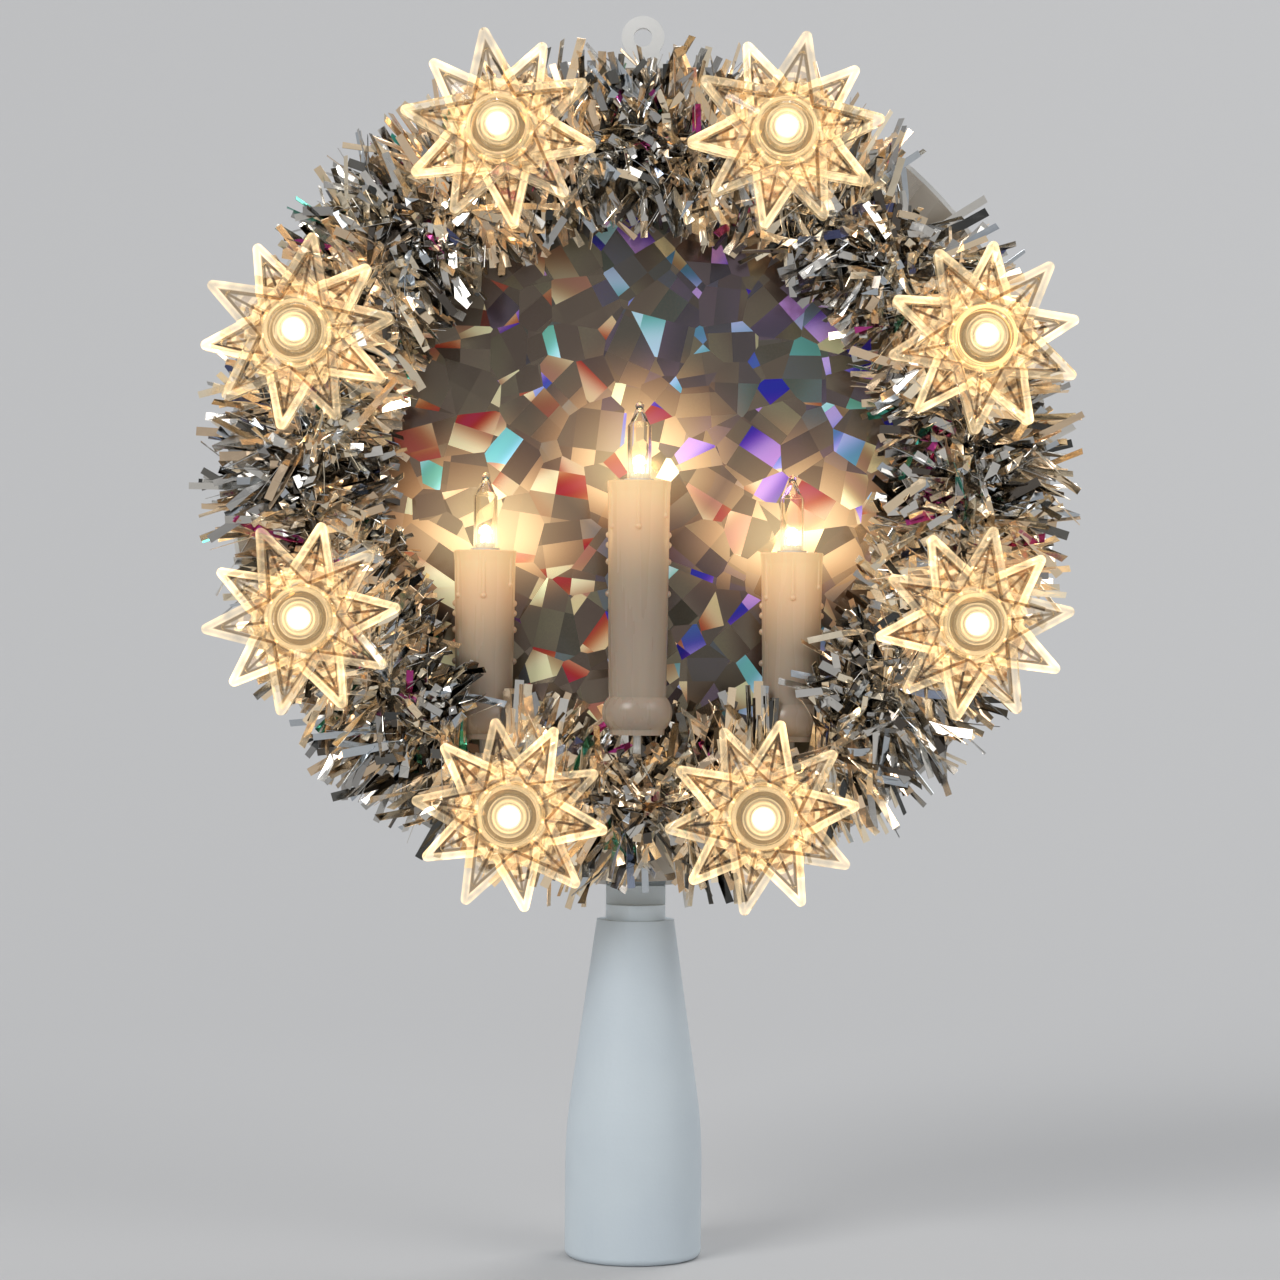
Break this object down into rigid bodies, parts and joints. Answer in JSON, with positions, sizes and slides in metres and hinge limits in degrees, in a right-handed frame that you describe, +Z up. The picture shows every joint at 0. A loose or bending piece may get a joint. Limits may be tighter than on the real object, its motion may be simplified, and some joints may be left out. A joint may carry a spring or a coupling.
{
  "type": "lighted wreath tree topper",
  "caption": "Lighted tree topper: tinsel ring on a round plate with turning star covers over lamps, candles in the middle and a cone below for the tree tip.",
  "frame": {"origin": "centre of the tree cone's mouth", "axes": "+Z up along the cone's axis, +X to the right seen from the front, the wreath faces -Y"},
  "size_m": [0.2005, 0.0502, 0.291],
  "materials": {
    "cone_plastic": "satin moulded",
    "plate_plastic": "milky moulded",
    "prismatic_film": "mirror film with prismatic flakes",
    "core_wire": "drawn wire",
    "tinsel": "bright silver strips",
    "wire_insulation": "smooth",
    "holder_plastic": "moulded",
    "lamp_plastic": "moulded",
    "lamp_glass": "clear",
    "filament": "glowing",
    "star_plastic": "clear moulded",
    "candle_plastic": "translucent, wax-like"
  },
  "bodies": {
    "cone": {"tree_cone": "cone_plastic"},
    "wreath": {"back_plate": "plate_plastic", "plate_stem": "plate_plastic", "prismatic_film": "prismatic_film", "garland_core": "core_wire", "tinsel_garland": "tinsel", "wire_loom": "wire_insulation", "candle_leads": "wire_insulation", "star_lamp_bases": "lamp_plastic", "star_filaments": "filament", "lamp_holder_1": "holder_plastic", "star_bulb_1": "lamp_glass", "lamp_holder_2": "holder_plastic", "star_bulb_2": "lamp_glass", "lamp_holder_3": "holder_plastic", "star_bulb_3": "lamp_glass", "lamp_holder_4": "holder_plastic", "star_bulb_4": "lamp_glass", "lamp_holder_5": "holder_plastic", "star_bulb_5": "lamp_glass", "lamp_holder_6": "holder_plastic", "star_bulb_6": "lamp_glass", "lamp_holder_7": "holder_plastic", "star_bulb_7": "lamp_glass", "lamp_holder_8": "holder_plastic", "star_bulb_8": "lamp_glass", "candle_bracket_left": "candle_plastic", "candle_holder_left": "holder_plastic", "candle_sleeve_left": "candle_plastic", "candle_bracket_middle": "candle_plastic", "candle_holder_middle": "holder_plastic", "candle_sleeve_middle": "candle_plastic", "candle_bracket_right": "candle_plastic", "candle_holder_right": "holder_plastic", "candle_sleeve_right": "candle_plastic"},
    "star_1": {"star_rear_1": "star_plastic", "star_front_1": "star_plastic"},
    "star_2": {"star_rear_2": "star_plastic", "star_front_2": "star_plastic"},
    "star_3": {"star_rear_3": "star_plastic", "star_front_3": "star_plastic"},
    "star_4": {"star_rear_4": "star_plastic", "star_front_4": "star_plastic"},
    "star_5": {"star_rear_5": "star_plastic", "star_front_5": "star_plastic"},
    "star_6": {"star_rear_6": "star_plastic", "star_front_6": "star_plastic"},
    "star_7": {"star_rear_7": "star_plastic", "star_front_7": "star_plastic"},
    "star_8": {"star_rear_8": "star_plastic", "star_front_8": "star_plastic"},
    "candle_lamp_left": {"candle_lamp_base_left": "lamp_plastic", "candle_filament_left": "filament", "candle_bulb_left": "lamp_glass"},
    "candle_lamp_middle": {"candle_lamp_base_middle": "lamp_plastic", "candle_filament_middle": "filament", "candle_bulb_middle": "lamp_glass"},
    "candle_lamp_right": {"candle_lamp_base_right": "lamp_plastic", "candle_filament_right": "filament", "candle_bulb_right": "lamp_glass"}
  },
  "joints": [
    {"name": "wreath_swivel", "type": "hinge", "parent": "cone", "child": "wreath", "pos_m": [0, 0, 0.072], "axis": [0, 0, 1], "continuous": true},
    {"name": "star_1_turn", "type": "hinge", "parent": "wreath", "child": "star_1", "pos_m": [0.03263, 0, 0.2607], "axis": [0, -1, 0], "continuous": true},
    {"name": "star_2_turn", "type": "hinge", "parent": "wreath", "child": "star_2", "pos_m": [0.07819, 0, 0.21399], "axis": [0, -1, 0], "continuous": true},
    {"name": "star_3_turn", "type": "hinge", "parent": "wreath", "child": "star_3", "pos_m": [0.07657, 0, 0.14875], "axis": [0, -1, 0], "continuous": true},
    {"name": "star_4_turn", "type": "hinge", "parent": "wreath", "child": "star_4", "pos_m": [0.02873, 0, 0.10437], "axis": [0, -1, 0], "continuous": true},
    {"name": "star_5_turn", "type": "hinge", "parent": "wreath", "child": "star_5", "pos_m": [-0.02873, 0, 0.10437], "axis": [0, -1, 0], "continuous": true},
    {"name": "star_6_turn", "type": "hinge", "parent": "wreath", "child": "star_6", "pos_m": [-0.07657, 0, 0.14875], "axis": [0, -1, 0], "continuous": true},
    {"name": "star_7_turn", "type": "hinge", "parent": "wreath", "child": "star_7", "pos_m": [-0.07819, 0, 0.21399], "axis": [0, -1, 0], "continuous": true},
    {"name": "star_8_turn", "type": "hinge", "parent": "wreath", "child": "star_8", "pos_m": [-0.03263, 0, 0.2607], "axis": [0, -1, 0], "continuous": true},
    {"name": "candle_lamp_left_pull", "type": "slide", "parent": "wreath", "child": "candle_lamp_left", "axis": [0, 0, 1], "range_m": [0, 0.014]},
    {"name": "candle_lamp_middle_pull", "type": "slide", "parent": "wreath", "child": "candle_lamp_middle", "axis": [0, 0, 1], "range_m": [0, 0.014]},
    {"name": "candle_lamp_right_pull", "type": "slide", "parent": "wreath", "child": "candle_lamp_right", "axis": [0, 0, 1], "range_m": [0, 0.014]}
  ]
}
